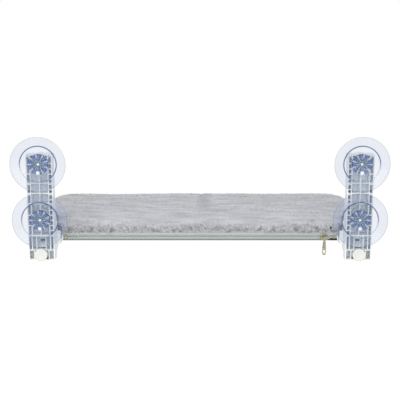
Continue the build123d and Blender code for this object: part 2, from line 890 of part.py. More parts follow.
# The slider: a plate over the coil, a post through the split and a plate behind
def zip_slider():
    face_back = zip_plane_y - zip_coil_depth - slider_gap
    face_front = face_back - slider_plate_thickness
    plate = make_face(
        Plane.XZ
        * Polyline(
            (-slider_half_length, -slider_half_height),
            (slider_nose_half_width, -slider_half_height),
            (slider_half_length, -slider_nose_half_width),
            (slider_half_length, slider_nose_half_width),
            (slider_nose_half_width, slider_half_height),
            (-slider_half_length, slider_half_height),
            (-slider_half_length, -slider_half_height),
        )
    )
    body = Pos(0, face_back, 0) * extrude(plate, slider_plate_thickness)
    flange_inner = zip_split / 2 + zip_coil_height + slider_gap
    wrap = zip_plane_y - slider_gap
    for side in (-1, 1):
        edges = sorted((side * flange_inner, side * slider_half_height))
        body += block(-slider_half_length, slider_nose_half_width, face_back, wrap, edges[0], edges[1])
    post = zip_split / 2 - slider_post_side_gap
    post_end = zip_plane_y + zip_tape_thickness + slider_gap
    body += block(-slider_post_half_length, slider_post_half_length, face_back, post_end, -post, post)
    tall = slider_back_half_height
    body += block(
        -slider_half_length, slider_half_length, post_end, post_end + slider_back_thickness, -tall, tall
    )
    # A wire bail on the face that carries the pull tab
    bail_front = face_front - slider_bail_reach
    lead = slider_bail_half_length
    bail_root = face_front + slider_plate_thickness / 2
    path = FilletPolyline(
        (-lead, bail_root, 0),
        (-lead, bail_front, 0),
        (lead, bail_front, 0),
        (lead, bail_root, 0),
        radius=slider_bail_bend,
    )
    wire = Plane(origin=path @ 0, z_dir=path % 0) * Circle(slider_bail_wire_radius)
    body += sweep(wire, path=path)
    return Pos(slider_x, 0, zip_z) * body


# The pull tab: a waisted strip that hangs on the bail, with a long hole near its end
def zip_pull():
    bail_y = zip_plane_y - zip_coil_depth - slider_gap - slider_plate_thickness - slider_bail_reach
    half = pull_width / 2
    waist = pull_waist_width / 2
    top = pull_eye_radius + slider_bail_wire_radius
    slot_z = -pull_length + pull_slot_end_margin + pull_slot_half_length
    neck = -pull_length * pull_taper_share[0]
    shoulder = -pull_length * pull_taper_share[1]
    outline = Polyline(
        (-waist, top),
        (waist, top),
        (waist, neck),
        (half, shoulder),
        (half, -pull_length + half),
        (half / 2, -pull_length),
        (-half / 2, -pull_length),
        (-half, -pull_length + half),
        (-half, shoulder),
        (-waist, neck),
        (-waist, top),
    )
    body = extrude(make_face(Plane.XZ * outline), pull_thickness / 2, both=True)
    round_end = Plane.XZ * SlotOverall(pull_slot_half_length * 2, pull_slot_half_width * 2, rotation=90)
    body -= Pos(0, 0, slot_z) * extrude(round_end, pull_thickness, both=True)
    hole_x = slider_bail_half_length - slider_bail_bend - slider_gap
    hole_z = pull_eye_radius - pull_eye_drop
    low = -slider_bail_wire_radius - slider_gap
    body -= block(-half - cut_overrun, -hole_x, -half, half, low, top + cut_overrun)
    body -= block(hole_x, half + cut_overrun, -half, half, low, top + cut_overrun)
    bore = slider_bail_wire_radius + pull_eye_clearance
    eye = rod_x(bore + pull_eye_drop, -hole_x, hole_x, 0, 0)
    body = (body + eye) - rod_x(bore, -half, half, 0, 0)
    body -= block(-half, half, -half, half, hole_z + bore, top + cut_overrun)
    return Pos(slider_x, bail_y, zip_z) * body


def right_side():
    pieces = {"bracket": bracket()}
    for name, z in (("upper", upper_cup_z), ("lower", lower_cup_z)):
        pieces[name + "_cup"] = cup(z)
        pieces[name + "_stud"] = stud(z)
        pieces[name + "_washer"] = washer(z)
        pieces[name + "_knob"] = knob(z)
    pieces["bumper"] = bumper()
    pieces["inner_bush"] = bush(-1)
    pieces["outer_bush"] = bush(1)
    pieces["latch"] = latch()
    pieces["arm_hub"] = arm_hub()
    pieces["pivot_screw"] = pivot_screw()
    pieces["arm_screw"] = arm_screw()
    pieces["side_tube"] = side_tube()
    pieces["joint_screw"] = joint_screw()
    pieces["support_bar"] = support_bar()
    pieces["end_cap"] = end_cap()
    return pieces


def middle_pieces():
    whole_cover = cover()
    return {
        "front_tube": front_tube(),
        "frame_connector": frame_connector(),
        "support_board": support_board(),
        "foam_pad": foam_pad(),
        "cover_top": cover_top(whole_cover),
        "cover_base": cover_base(whole_cover),
        "zip_tape_upper": zip_tape(1),
        "zip_tape_lower": zip_tape(-1),
        "zip_coil_upper": zip_coil(1),
        "zip_coil_lower": zip_coil(-1),
        "zip_stop_left": zip_stop(-1),
        "zip_stop_right": zip_stop(1),
        "zip_slider": zip_slider(),
        "zip_pull": zip_pull(),
    }


os.makedirs("parts", exist_ok=True)
for piece_name, piece in right_side().items():
    export_step(piece, f"parts/right_{piece_name}.step")
    export_step(mirror(piece, about=Plane.YZ), f"parts/left_{piece_name}.step")
for piece_name, piece in middle_pieces().items():
    export_step(piece, f"parts/{piece_name}.step")
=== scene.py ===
"""A window mounted cat perch: a plush bed on a folding tube frame, held to a pane by four cups.

Metres. X runs along the pane, Y into the room and Z up, with the origin on the pane.
"""

import math

import bmesh
import bpy
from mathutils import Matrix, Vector, noise


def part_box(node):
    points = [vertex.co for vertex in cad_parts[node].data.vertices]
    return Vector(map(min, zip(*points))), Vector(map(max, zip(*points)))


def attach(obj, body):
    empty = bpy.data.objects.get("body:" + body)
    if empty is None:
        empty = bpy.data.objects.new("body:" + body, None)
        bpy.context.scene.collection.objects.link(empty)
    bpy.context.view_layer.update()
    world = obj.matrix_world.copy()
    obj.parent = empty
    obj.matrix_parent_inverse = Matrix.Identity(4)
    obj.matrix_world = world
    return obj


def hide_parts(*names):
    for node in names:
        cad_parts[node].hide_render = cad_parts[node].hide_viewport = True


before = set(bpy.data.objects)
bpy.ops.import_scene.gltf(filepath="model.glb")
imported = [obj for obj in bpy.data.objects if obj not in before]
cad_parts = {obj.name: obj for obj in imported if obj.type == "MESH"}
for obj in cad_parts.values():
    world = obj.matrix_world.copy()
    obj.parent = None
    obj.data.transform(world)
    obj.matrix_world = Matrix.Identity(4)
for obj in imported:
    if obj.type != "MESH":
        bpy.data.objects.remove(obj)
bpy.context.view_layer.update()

# Suction cups
# Four clear blue-tinted PVC cups, moulded with a flat lip, a step ring and a thick boss.
# The boss sits against the bracket's ring and grips the stud's toothed disc.


class Channel:
    """One output of a shader node. Arithmetic on it adds Math nodes."""

    def __init__(self, finish, socket):
        self.finish = finish
        self.socket = socket

    def __add__(self, other):
        return self.finish.math("ADD", self, other)

    __radd__ = __add__

    def __sub__(self, other):
        return self.finish.math("SUBTRACT", self, other)

    def __rsub__(self, other):
        return self.finish.math("SUBTRACT", other, self)

    def __mul__(self, other):
        return self.finish.math("MULTIPLY", self, other)

    __rmul__ = __mul__

    def __truediv__(self, other):
        return self.finish.math("DIVIDE", self, other)

    def __abs__(self):
        return self.finish.math("ABSOLUTE", self)

    def sine(self):
        return self.finish.math("SINE", self)

    def root(self):
        return self.finish.math("SQRT", self)

    def ramp(self, low, high, start=0.0, end=1.0):
        """Goes smoothly from start to end while the channel goes from low to high."""
        settings = {"interpolation_type": "SMOOTHSTEP"}
        return self.finish.node("ShaderNodeMapRange", settings, (self, low, high, start, end))


class Finish:
    """A material whose nodes are written as expressions."""

    def __init__(self, name):
        self.material = bpy.data.materials.new(name)
        self.material.use_nodes = True
        self.tree = self.material.node_tree
        self.tree.nodes.clear()

    def node(self, kind, settings=None, inputs=(), output=0):
        """Adds a node: its settings first, then the values or links of its sockets."""
        made = self.tree.nodes.new(kind)
        for key, value in (settings or {}).items():
            setattr(made, key, value)
        pairs = inputs.items() if isinstance(inputs, dict) else enumerate(inputs)
        for key, value in pairs:
            if isinstance(value, Channel):
                self.tree.links.new(value.socket, made.inputs[key])
            else:
                made.inputs[key].default_value = value
        return Channel(self, made.outputs[output]) if len(made.outputs) else None

    def math(self, operation, *values):
        return self.node("ShaderNodeMath", {"operation": operation}, values)

    def place(self, scale=(1, 1, 1)):
        """The point that is shaded, for a pattern stretched along an axis."""
        spot = self.node("ShaderNodeTexCoord", output="Object")
        return self.node("ShaderNodeMapping", None, {"Vector": spot, "Scale": scale})

    def axes(self):
        """The x, y and z of the point that is shaded, in metres."""
        spot = self.node("ShaderNodeTexCoord", output="Object")
        return [self.node("ShaderNodeSeparateXYZ", None, (spot,), output=axis) for axis in "XYZ"]

    def noise(self, scale, detail=3.0, roughness=0.5, place=None):
        spot = place or self.place()
        inputs = {"Vector": spot, "Scale": scale, "Detail": detail, "Roughness": roughness}
        return self.node("ShaderNodeTexNoise", None, inputs)

    def mix(self, share, first, second):
        """Colours are this node's inputs 6 and 7 and its output 2."""
        inputs = {0: share, 6: first, 7: second}
        return self.node("ShaderNodeMix", {"data_type": "RGBA"}, inputs, output=2)

    def bump(self, height, strength, distance):
        inputs = {"Height": height, "Strength": strength, "Distance": distance}
        return self.node("ShaderNodeBump", None, inputs)

    def principled(self, **inputs):
        named = {key.replace("_", " "): value for key, value in inputs.items()}
        return self.node("ShaderNodeBsdfPrincipled", None, named)

    def close(self, surface):
        self.node("ShaderNodeOutputMaterial", None, (surface,))
        return self.material


# A colour as a screen shows it, from 0 to 255, turned to the linear values that nodes take
def tint(red, green, blue):
    linear = [((part / 255 + 0.055) / 1.055) ** 2.4 for part in (red, green, blue)]
    return (*linear, 1.0)


# Turns a bmesh into a piece that rides on a body and takes its finish from a slot
def piece(bm, name, body, material, replaced=(), crease=None):
    mesh = bpy.data.meshes.new(name)
    bm.to_mesh(mesh)
    bm.free()
    made = bpy.data.objects.new(name, mesh)
    bpy.context.scene.collection.objects.link(made)
    mesh.materials.append(material)
    for face in mesh.polygons:
        face.use_smooth = True
    if crease:
        mesh.set_sharp_from_angle(angle=math.radians(crease))
    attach(made, body)
    if replaced:
        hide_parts(*replaced)
    return made


# Turns a profile of (distance from the axis, depth) round an axis along Y
def turned(profile, centre, steps):
    bm = bmesh.new()
    verts = [bm.verts.new((0, depth, distance)) for distance, depth in profile]
    edges = [bm.edges.new(pair) for pair in zip(verts, verts[1:])]
    bmesh.ops.spin(
        bm, geom=verts + edges, cent=(0, 0, 0), axis=(0, 1, 0), angle=math.tau, steps=steps,
        use_merge=True,
    )
    bmesh.ops.remove_doubles(bm, verts=bm.verts, dist=1e-6)
    bmesh.ops.recalc_face_normals(bm, faces=bm.faces)
    bmesh.ops.translate(bm, verts=bm.verts, vec=centre)
    return bm


sides = {"left": -1, "right": 1}
cup_low, cup_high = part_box("right_upper_cup")
cup_x = (cup_low.x + cup_high.x) / 2
cup_z = (cup_low.z + cup_high.z) / 2
cup_radius = (cup_high.x - cup_low.x) / 2
cup_step_radius = 0.0329
cup_boss_radius = 0.018
cup_core_radius = 0.0110
cup_spoke_count = 9
cup_arm_half_width = 0.0026
cup_arm_drop = 0.0120
cup_ripples_per_metre = 2600.0


def clear_pvc():
    pvc = Finish("clear_blue_pvc")
    x, _, z = pvc.axes()
    across = abs(x) - cup_x
    up = abs(z) - cup_z
    radius = (across * across + up * up).root()
    height = up * pvc.math("SIGN", z)
    # The step line is painted stronger towards the top of each cup and fainter below: painted light and
    # shade on the step.
    step_light_side = (height * 0.9 - across * 0.45) / cup_step_radius
    angle = pvc.math("ARCTAN2", across, up)
    spokes = (angle * cup_spoke_count).sine().ramp(0.5, 0.95)
    boss = radius.ramp(cup_boss_radius + 0.0010, cup_boss_radius - 0.0004)
    arm = abs(across).ramp(cup_arm_half_width + 0.0006, cup_arm_half_width - 0.0006)
    arm = arm * height.ramp(-cup_arm_drop, -cup_arm_drop - 0.0015) * boss
    core = radius.ramp(cup_core_radius + 0.0006, cup_core_radius - 0.0004)
    edge = radius.ramp(cup_boss_radius - 0.0026, cup_boss_radius - 0.0006) * boss
    step = abs(radius - cup_step_radius).ramp(0.0013, 0.0005)
    step = step * step_light_side.ramp(-0.85, -0.15, start=0.3, end=1.0)
    flange = radius.ramp(cup_step_radius - 0.0010, cup_step_radius + 0.0030)
    rim = radius.ramp(cup_radius - 0.0014, cup_radius - 0.0006)
    patch = pvc.noise(26.0, detail=2.0)
    ripple = (radius * cup_ripples_per_metre).sine() * 0.5 + 0.5
    colour = pvc.mix(boss, tint(148, 168, 200), tint(118, 148, 206))
    colour = pvc.mix(step, colour, tint(44, 68, 142))
    colour = pvc.mix(edge, colour, tint(50, 84, 156))
    colour = pvc.mix(rim, colour, tint(98, 114, 156))
    ring = boss - core
    colour = pvc.mix(ring * spokes * 0.8, colour, tint(214, 224, 236))
    colour = pvc.mix(arm, colour, tint(232, 238, 245))
    alpha = patch * 0.05 + ripple * 0.012 + 0.112 + flange * 0.026 + step * 0.60 + rim * 0.12
    alpha = alpha + ring * 0.20 + edge * 0.24 + core * 0.03 + ring * spokes * 0.25 + arm * 0.5
    surface = pvc.principled(
        Base_Color=colour, Alpha=alpha, Roughness=0.08, Specular_IOR_Level=0.8, IOR=1.5,
    )
    return pvc.close(surface)


# Distance from the axis and depth from the pane, from the hollow face out over the lip and back
cup_profile = [
    (0.0, 0.0040),
    (0.008, 0.0038),
    (0.016, 0.0033),
    (0.026, 0.0026),
    (0.034, 0.0018),
    (0.041, 0.0009),
    (0.0455, 0.0003),
    (0.047, 0.0),
    (0.0496, 0.0),
    (0.05, 0.0004),
    (0.05, 0.0010),
    (0.0496, 0.0014),
    (0.044, 0.0026),
    (0.0354, 0.0042),
    (0.0341, 0.0046),
    (0.0338, 0.0058),
    (0.0333, 0.0063),
    (0.0324, 0.0063),
    (0.0320, 0.0057),
    (0.0317, 0.0047),
    (0.0270, 0.0056),
    (0.0200, 0.0066),
    (0.0184, 0.0074),
    (0.018, 0.0084),
    (0.018, 0.0114),
    (0.0174, 0.012),
    (0.0, 0.012),
]
pvc_material = clear_pvc()
for side, sign in sides.items():
    for level, height in (("upper", cup_z), ("lower", -cup_z)):
        piece(
            turned(cup_profile, (sign * cup_x, 0, height), steps=96),
            f"{side}_{level}_clear_cup", "mountings", pvc_material,
            [f"{side}_{level}_cup"], crease=50,
        )

# Brackets, knobs, latches and arm hubs
# White ABS mouldings, open and ribbed towards the pane and smooth towards the room.
# Their shapes come from the CAD nodes; the deep cell floors are painted a little lighter and bluer, as
# painted light in the recesses.

cell_floor_y = 0.0345
bracket_back_y = 0.0369


def white_abs():
    abs_white = Finish("white_abs")
    y = abs_white.axes()[1]
    # The cell floors are painted lighter and bluer: painted light in the recesses.
    painted_cell_light = y.ramp(cell_floor_y - 0.0045, cell_floor_y)
    room_side = y.ramp(bracket_back_y - 0.0005, bracket_back_y)
    mottle = abs_white.noise(60.0, detail=4.0)
    colour = abs_white.mix(mottle * 0.25, tint(246, 249, 251), tint(232, 239, 244))
    colour = abs_white.mix(painted_cell_light, colour, tint(248, 255, 255))
    colour = abs_white.mix(room_side, colour, tint(242, 244, 246))
    grain = abs_white.noise(1400.0, detail=2.0)
    rough = abs_white.noise(90.0, detail=3.0) * 0.15 + 0.30
    surface = abs_white.principled(
        Base_Color=colour, Roughness=rough, Normal=abs_white.bump(grain, strength=0.12, distance=0.0002),
    )
    return abs_white.close(surface)


# Gives a CAD node its material
def coat(material, *names):
    for name in names:
        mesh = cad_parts[name].data
        mesh.materials.clear()
        mesh.materials.append(material)


abs_material = white_abs()
for side in sides:
    coat(abs_material, f"{side}_bracket", f"{side}_latch", f"{side}_arm_hub")
    coat(abs_material, f"{side}_upper_knob", f"{side}_lower_knob")

# Studs
# The toothed disc in the middle of each cup is moulded grey plastic round a threaded shank.

stud_tooth_count = 12
stud_tooth_twist = 160.0
stud_highlight_radius = 0.0023


def stud_grey():
    grey = Finish("stud_grey")
    x, _, z = grey.axes()
    across = abs(x) - cup_x
    up = abs(z) - cup_z
    radius = (across * across + up * up).root()
    angle = grey.math("ARCTAN2", across, up)
    teeth = (angle * stud_tooth_count + radius * stud_tooth_twist).sine() * 0.5 + 0.5
    speck = grey.noise(380.0, detail=3.0)
    fleck = (teeth * 0.6 + speck.ramp(0.42, 0.60) * 0.5).ramp(0.25, 1.0)
    colour = grey.mix(fleck, tint(62, 78, 92), tint(176, 188, 198))
    # A white spot in the middle of each disc is a painted highlight on its centre dimple.
    middle = radius.ramp(stud_highlight_radius + 0.0005, stud_highlight_radius - 0.0005)
    colour = grey.mix(middle, colour, tint(250, 252, 254))
    surface = grey.principled(
        Base_Color=colour, Roughness=0.35, Normal=grey.bump(speck, strength=0.2, distance=0.0004),
    )
    return grey.close(surface)


stud_material = stud_grey()
for side in sides:
    coat(stud_material, f"{side}_upper_stud", f"{side}_lower_stud")

# Steel washers, screws and the tube connector
# Zinc plated stock parts with fine turning marks.


def plated_steel():
    steel = Finish("plated_steel")
    marks = steel.noise(260.0, detail=4.0, place=steel.place(scale=(1, 12, 1)))
    colour = steel.mix(marks, tint(176, 180, 184), tint(214, 217, 220))
    surface = steel.principled(
        Base_Color=colour, Metallic=1.0, Roughness=marks * 0.2 + 0.22,
        Normal=steel.bump(marks, strength=0.1, distance=0.0002),
    )
    return steel.close(surface)


steel_material = plated_steel()
for side in sides:
    coat(steel_material, f"{side}_upper_washer", f"{side}_lower_washer")
    coat(steel_material, f"{side}_pivot_screw", f"{side}_arm_screw", f"{side}_joint_screw")
coat(steel_material, "frame_connector")

# Bumper pads
# Round cream rubber pads pressed by a stem into the bracket's foot, standing on the pane.


def cream_rubber():
    rubber = Finish("cream_rubber")
    speck = rubber.noise(300.0, detail=4.0)
    colour = rubber.mix(speck, tint(220, 221, 215), tint(234, 235, 229))
    surface = rubber.principled(
        Base_Color=colour, Roughness=speck * 0.2 + 0.5,
        Normal=rubber.bump(speck, strength=0.15, distance=0.0003),
    )
    return rubber.close(surface)


pad_back = 0.012
pad_stem_radius = 0.0040
rubber_material = cream_rubber()
for side, sign in sides.items():
    low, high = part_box(f"{side}_bumper")
    centre = ((low.x + high.x) / 2, 0, (low.z + high.z) / 2)
    radius = (high.x - low.x) / 2
    face_profile = [
        (0.0, 0.0004),
        (radius - 0.0042, 0.0004),
        (radius - 0.0032, 0.0),
        (radius - 0.0012, 0.0),
        (radius - 0.0003, 0.0004),
        (radius, 0.0014),
        (radius, 0.0105),
        (radius - 0.0006, pad_back - 0.0002),
        (radius - 0.0016, pad_back),
        (pad_stem_radius + 0.0001, pad_back),
        (pad_stem_radius, pad_back + 0.0002),
        (pad_stem_radius, high.y),
        (0.0, high.y),
    ]
    piece(
        turned(face_profile, centre, steps=48), f"{side}_rubber_bumper", "mountings",
        rubber_material, [f"{side}_bumper"], crease=40,
    )

# Hinge bushes and tube end caps
# Grey acetal bushes in the cheeks and black caps pushed into the front tube's ends.


def plain_plastic(name, dark, light, roughness):
    plastic = Finish(name)
    cloud = plastic.noise(120.0, detail=3.0)
    colour = plastic.mix(cloud, dark, light)
    surface = plastic.principled(
        Base_Color=colour, Roughness=cloud * 0.12 + roughness,
        Normal=plastic.bump(plastic.noise(1500.0, detail=2.0), strength=0.1, distance=0.0002),
    )
    return plastic.close(surface)


bush_material = plain_plastic("grey_acetal", tint(150, 155, 160), tint(172, 177, 182), 0.3)
cap_material = plain_plastic("black_nylon", tint(30, 32, 36), tint(46, 49, 54), 0.4)
for side in sides:
    coat(bush_material, f"{side}_inner_bush", f"{side}_outer_bush")
    coat(cap_material, f"{side}_end_cap")

# Latch shade strips
# A thin black strip on top of each latch is painted shade: a dark sheet where the bracket's window shows
# the shaded top of the latch.
# It sits between the bracket's back and the latch's tooth.

shade_strip_size = Vector((0.0190, 0.0205, 0.0010))
shade_strip_front = 0.0378
shade_strip_seat_height = 0.0115
shade_strip_edge_radius = 0.0003
for side, sign in sides.items():
    latch_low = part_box(f"{side}_latch")[0]
    centre = Vector((sign * cup_x, shade_strip_front, latch_low.z + shade_strip_seat_height))
    centre += Vector((0, shade_strip_size.y / 2, shade_strip_size.z / 2))
    bm = bmesh.new()
    bmesh.ops.create_cube(bm, size=1.0)
    bmesh.ops.scale(bm, vec=shade_strip_size, verts=bm.verts)
    bmesh.ops.bevel(
        bm, geom=bm.edges[:], offset=shade_strip_edge_radius, segments=2, profile=0.5, affect="EDGES",
        material=-1, clamp_overlap=True,
    )
    bmesh.ops.translate(bm, vec=centre, verts=bm.verts)
    piece(bm, f"{side}_latch_buffer", f"{side}_latch", cap_material, crease=30)

# Frame tubes and support bars
# Steel tube and strip with a dark grey powder coat.


def powder_coat():
    powder = Finish("dark_powder_coat")
    orange_peel = powder.noise(900.0, detail=3.0)
    wear = powder.noise(30.0, detail=5.0).ramp(0.62, 0.72)
    colour = powder.mix(wear * 0.4, tint(58, 62, 68), tint(96, 100, 106))
    surface = powder.principled(
        Base_Color=colour, Roughness=orange_peel * 0.15 + 0.34, Metallic=0.2,
        Normal=powder.bump(orange_peel, strength=0.25, distance=0.0002),
    )
    return powder.close(surface)


powder_material = powder_coat()
coat(powder_material, "front_tube")
for side in sides:
    coat(powder_material, f"{side}_side_tube", f"{side}_support_bar")

# Support board
# Thin birch ply under the foam, carried by the two bars.


def birch_ply():
    ply = Finish("birch_ply")
    grain = ply.noise(26.0, detail=6.0, roughness=0.6, place=ply.place(scale=(1, 14, 14)))
    colour = ply.mix(grain, tint(186, 158, 118), tint(222, 200, 162))
    surface = ply.principled(
        Base_Color=colour, Roughness=0.62, Normal=ply.bump(grain, strength=0.2, distance=0.0004),
    )
    return ply.close(surface)


coat(birch_ply(), "support_board")

# Foam pad
# A cut block of cream foam with softened edges, inside the cover on the board.
# It is cut short at both ends, to stay inside the narrower near stretch of the cover.


def open_foam():
    foam = Finish("open_foam")
    cells = foam.noise(900.0, detail=2.0)
    colour = foam.mix(cells, tint(226, 220, 200), tint(244, 240, 226))
    surface = foam.principled(
        Base_Color=colour, Roughness=0.9, Normal=foam.bump(cells, strength=0.6, distance=0.0008),
    )
    return foam.close(surface)


foam_low, foam_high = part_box("foam_pad")
foam_end_cut = 0.0185
foam_edge_radius = 0.006
foam_size = foam_high - foam_low
foam_size.x -= foam_end_cut * 2
bm = bmesh.new()
bmesh.ops.create_cube(bm, size=1.0)
bmesh.ops.scale(bm, vec=foam_size, verts=bm.verts)
bmesh.ops.translate(bm, vec=(foam_low + foam_high) / 2, verts=bm.verts)
bmesh.ops.bevel(
    bm, geom=bm.edges, offset=foam_edge_radius, segments=4, profile=0.5, affect="EDGES",
    material=-1, clamp_overlap=True,
)
foam_block = piece(bm, "foam_block", "bed", open_foam(), ["foam_pad"], crease=60)

# Plush cover
# A bag of short grey plush over the frame and the foam, with a smooth woven underside.
# It is cut to the frame, blown up a little by its filling, and wrinkles along its length.

cover_low, cover_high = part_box("cover_top")
base_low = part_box("cover_base")[0]
tape_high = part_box("zip_tape_upper")[1]
axis_y = sum(corner.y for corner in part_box("front_tube")) / 2
axis_z = sum(corner.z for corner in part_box("front_tube")) / 2
near_half = 0.259
near_stretch = 0.0255
wide_y = cover_low.y + near_stretch
near_corner_radius = 0.007
inner_corner_radius = 0.004
hub_corner_radius = 0.009
far_corner_radius = 0.052
cover_edge_radius = 0.0055
cover_inset = 0.0012
cover_crown = 0.0042
tube_room = 0.0085
undercut_y = wide_y + 0.020
undercut_wall = 0.004
undercut_z = axis_z - 0.009
tuft_shade_row = axis_z - 0.0015
zip_roll_height = 0.0010
long_fold_height = 0.0011
short_fold_height = 0.0006
sag_height = 0.0012
crease_place = 0.004
crease_half_width = 0.0045
crease_depth = 0.0016
front_lump_height = 0.0022
knob_touch_y = axis_y + cup_z - axis_z
knob_dent_radius = 0.024
knob_dent_depth = 0.0026


def cover_blank():
    bm = bmesh.new()
    left, right = cover_low.x + cover_inset, cover_high.x - cover_inset
    near, far = cover_low.y + cover_inset, cover_high.y - cover_inset
    half = near_half - cover_inset
    step = wide_y + cover_inset
    low, high = base_low.z + cover_inset, cover_high.z - cover_crown
    corners = [
        (half, near), (half, step), (right, step), (right, far),
        (left, far), (left, step), (-half, step), (-half, near),
    ]
    verts = [bm.verts.new((x, y, low)) for x, y in corners]
    bm.faces.new(verts)
    radii = (near_corner_radius, inner_corner_radius, hub_corner_radius, far_corner_radius)
    for index, radius in enumerate(radii):
        pair = [verts[index], verts[7 - index]]
        bmesh.ops.bevel(
            bm, geom=pair, offset=radius, segments=8, profile=0.5, affect="VERTICES", material=-1
        )
    blank = bmesh.ops.extrude_face_region(bm, geom=bm.faces[:])
    lifted = [item for item in blank["geom"] if isinstance(item, bmesh.types.BMVert)]
    bmesh.ops.translate(bm, vec=(0, 0, high - low), verts=lifted)
    bmesh.ops.recalc_face_normals(bm, faces=bm.faces)
    rims = [edge for edge in bm.edges if abs(edge.verts[0].co.z - edge.verts[1].co.z) < 1e-6]
    bmesh.ops.bevel(
        bm, geom=rims, offset=cover_edge_radius, segments=3, profile=0.5, affect="EDGES",
        material=-1, clamp_overlap=True,
    )
    return bm


def remeshed(made, voxel):
    bpy.context.view_layer.objects.active = made
    made.data.remesh_voxel_size = voxel
    made.data.remesh_voxel_adaptivity = 0
    with bpy.context.temp_override(active_object=made, object=made, selected_objects=[made]):
        bpy.ops.object.voxel_remesh()


# Makes a piece's modifiers part of its mesh
def applied(made):
    graph = bpy.context.evaluated_depsgraph_get()
    mesh = bpy.data.meshes.new_from_object(made.evaluated_get(graph))
    made.modifiers.clear()
    made.data = mesh


# Fills the cover: cloth under a little pressure, held along the zip and the near corners
def filled(made, frames, reach):
    start = [vert.co.copy() for vert in made.data.vertices]
    group = made.vertex_groups.new(name="held")
    for vert in made.data.vertices:
        x, y, z = vert.co
        sewn = abs(x) > near_half - 0.02 or z < axis_z - 0.004
        hold = 1.0 if sewn and y < wide_y + 0.012 else 0.0
        group.add([vert.index], hold, "REPLACE")
    cloth = made.modifiers.new("cloth", "CLOTH")
    settings = cloth.settings
    settings.quality = 4
    settings.mass = 0.25
    settings.tension_stiffness = 12
    settings.compression_stiffness = 12
    settings.shear_stiffness = 6
    settings.bending_stiffness = 0.4
    settings.vertex_group_mass = group.name
    settings.use_pressure = True
    settings.uniform_pressure_force = 2.6
    settings.shrink_min = -0.045
    settings.effector_weights.gravity = 0
    cloth.collision_settings.use_collision = False
    cloth.point_cache.frame_start = 1
    cloth.point_cache.frame_end = frames
    scene = bpy.context.scene
    for number in range(1, frames + 1):
        scene.frame_set(number)
    applied(made)
    scene.frame_set(1)
    for vert, before in zip(made.data.vertices, start):
        move = vert.co - before
        if move.length > reach:
            vert.co = before + move.normalized() * reach
        if before.y < cover_low.y + 0.004:
            vert.co.y = min(vert.co.y, before.y + 0.001)


def smooth_step(value, low, high):
    share = min(max((value - low) / (high - low), 0.0), 1.0)
    return share * share * (3 - 2 * share)


# Wrinkles that run along the bed, the faint crease across its middle, the dents where the upper
# knobs press when the bed is folded up, and the fit round the front tube, the zip and the hubs
def settle(made):
    for vert in made.data.vertices:
        x, y, z = vert.co
        top = smooth_step(z, axis_z - 0.002, axis_z + 0.006)
        long_fold = noise.noise(Vector((x * 7.0, y * 46.0, 1.7)))
        short_fold = noise.noise(Vector((x * 24.0, y * 90.0, 5.2)))
        sag = noise.noise(Vector((x * 5.0, y * 6.0, 9.1)))
        lift = long_fold * long_fold_height + short_fold * short_fold_height + sag * sag_height
        crease_x = crease_place + 0.003 * math.sin(y * 30.0)
        crease = math.exp(-(((x - crease_x) / crease_half_width) ** 2))
        crease *= smooth_step(y, 0.09, 0.14)
        roll = math.exp(-(((y - cover_low.y - 0.012) / 0.006) ** 2)) * zip_roll_height
        off_knob = math.hypot(abs(x) - cup_x, y - knob_touch_y)
        dent = math.exp(-((off_knob / knob_dent_radius) ** 2)) * knob_dent_depth
        vert.co.z += top * (lift + roll - crease * crease_depth - dent)
        front = smooth_step(cover_low.y + 0.008 - y, 0.0, 0.004)
        front *= smooth_step(z, tape_high.z, tape_high.z + 0.004)
        lump = noise.noise(Vector((x * 85.0, z * 110.0, 3.3)))
        vert.co.y -= front * max(lump, -0.3) * front_lump_height
    zip_top = tape_high.z
    seat = tape_high.y
    for vert in made.data.vertices:
        x, y, z = vert.co
        away = max(math.hypot(y - axis_y, z - axis_z), 1e-6)
        if away < tube_room:
            y = axis_y + (y - axis_y) * tube_room / away
            z = axis_z + (z - axis_z) * tube_room / away
        reach = abs(x)
        if y < wide_y - 0.004:
            reach = min(reach, near_half)
            if z < zip_top:
                y = max(y, seat)
            else:
                hang = smooth_step(z, zip_top, zip_top + 0.004)
                y = max(y, seat + (cover_low.y - seat) * hang)
        elif reach > near_half:
            y = max(y, wide_y)
            if y < undercut_y + undercut_wall:
                share = 1.0 - smooth_step(y, undercut_y, undercut_y + undercut_wall)
                share *= smooth_step(reach, near_half - 0.001, near_half + 0.004)
                z = max(z, base_low.z + (undercut_z - base_low.z) * share)
        x = math.copysign(min(reach, cover_high.x + 0.002), x)
        y = min(y, cover_high.y + 0.002)
        z = min(max(z, base_low.z - 0.0015), cover_high.z + 0.0025)
        vert.co = (x, y, z)


